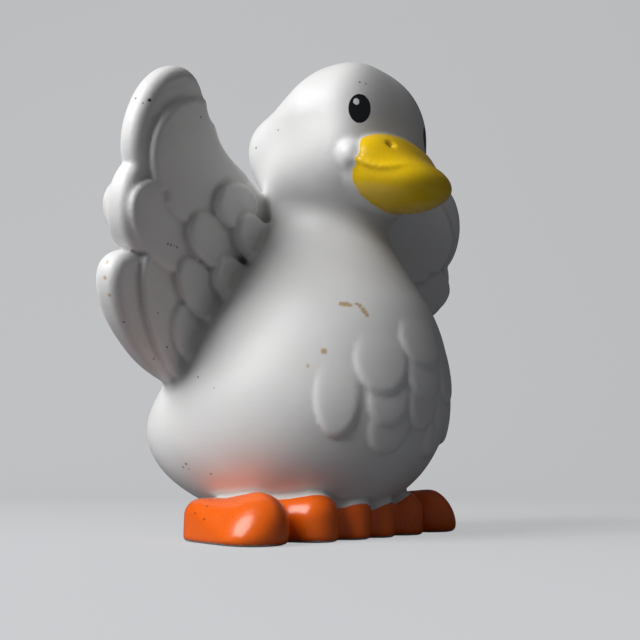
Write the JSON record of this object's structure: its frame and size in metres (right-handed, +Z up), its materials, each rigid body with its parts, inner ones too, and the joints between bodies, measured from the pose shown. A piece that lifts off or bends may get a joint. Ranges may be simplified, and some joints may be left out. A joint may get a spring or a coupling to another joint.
{
  "type": "duck figurine",
  "caption": "Small moulded vinyl toy duck standing on broad webbed feet with both wings raised beside its round head, for a desk, shelf or bath.",
  "frame": {"origin": "on the flat underside, midway between the two feet", "axes": "+Z up, -Y the way the duck faces, +X to the duck's left"},
  "size_m": [0.0576, 0.0425, 0.0544],
  "materials": {
    "vinyl": "satin white soft vinyl with painted yellow beak, orange feet and printed black eyes"
  },
  "bodies": {
    "root": {"duck_figurine": "vinyl"}
  },
  "joints": []
}
